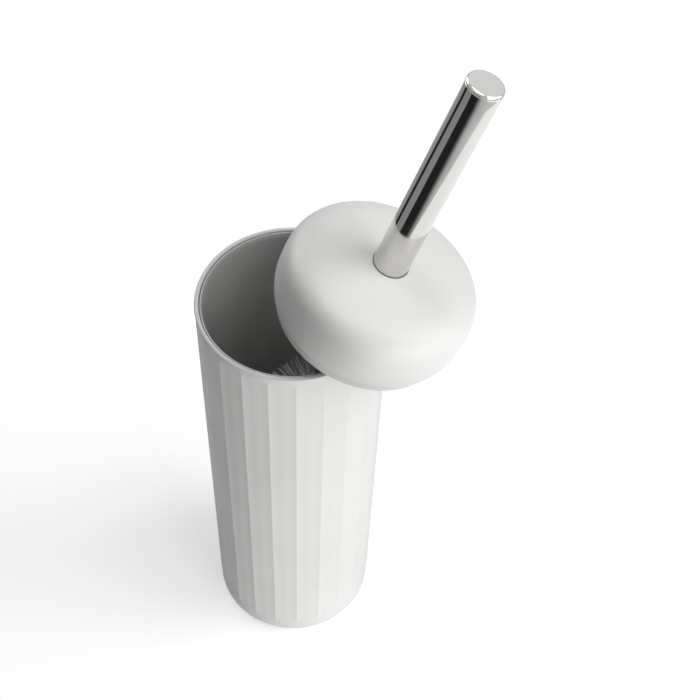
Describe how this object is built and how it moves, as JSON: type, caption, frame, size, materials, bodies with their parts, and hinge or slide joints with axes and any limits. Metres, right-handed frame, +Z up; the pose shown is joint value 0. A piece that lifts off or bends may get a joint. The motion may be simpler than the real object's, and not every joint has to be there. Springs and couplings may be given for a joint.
{
  "type": "toilet brush holder",
  "caption": "Fluted round toilet brush holder with a removable liner and a brush whose domed lid and round handle lean on the rim.",
  "frame": {"origin": "centre of the non-slip pad's underside, on the canister's axis, where the holder stands on the floor", "axes": "+Z up along the canister's axis; +X towards the side that the brush leans to; -Y towards the front"},
  "size_m": [0.1336, 0.105, 0.4204],
  "materials": {
    "white_steel": "matte white powder coat",
    "base_steel": "matte pale grey coat",
    "pad_rubber": "black foam rubber",
    "liner_plastic": "dark grey satin polypropylene",
    "lid_plastic": "white satin moulded plastic",
    "lip_plastic": "white satin moulded plastic, slightly greyer",
    "chrome": "polished chrome",
    "seal_rubber": "black sealing rubber",
    "insert_plastic": "grey moulded plastic",
    "stem_steel": "drawn stainless steel",
    "core_plastic": "white moulded plastic",
    "bristle_nylon": "white nylon filament tufts"
  },
  "bodies": {
    "canister": {"canister_body": "white_steel", "canister_base": "base_steel", "non_slip_pad": "pad_rubber"},
    "liner": {"liner_cup": "liner_plastic"},
    "brush": {"lid_shell": "lid_plastic", "lid_lip_ring": "lip_plastic", "lid_washer": "stem_steel", "lid_lock_nut": "stem_steel", "handle_seal": "seal_rubber", "handle_tube": "chrome", "handle_end_cap": "chrome", "handle_insert": "insert_plastic", "stem_rod": "stem_steel"},
    "head": {"head_socket": "core_plastic", "brush_core": "core_plastic", "tuft_row_1": "bristle_nylon", "tuft_row_2": "bristle_nylon", "tuft_row_3": "bristle_nylon", "tuft_row_4": "bristle_nylon", "tuft_row_5": "bristle_nylon", "tuft_row_6": "bristle_nylon", "tuft_row_7": "bristle_nylon", "tuft_row_8": "bristle_nylon", "tip_tufts": "bristle_nylon"}
  },
  "joints": [
    {"name": "liner_lift", "type": "slide", "parent": "canister", "child": "liner", "axis": [0, 0, 1], "range_m": [0, 0.28]},
    {"name": "brush_lift", "type": "slide", "parent": "liner", "child": "brush", "axis": [0, 0, 1], "range_m": [0, 0.2]},
    {"name": "head_unscrew", "type": "hinge", "parent": "brush", "child": "head", "pos_m": [0.00264, -0.01656, 0.17156], "axis": [-0.2867, -0.0482, -0.9568], "range_deg": [0, 1080]}
  ]
}
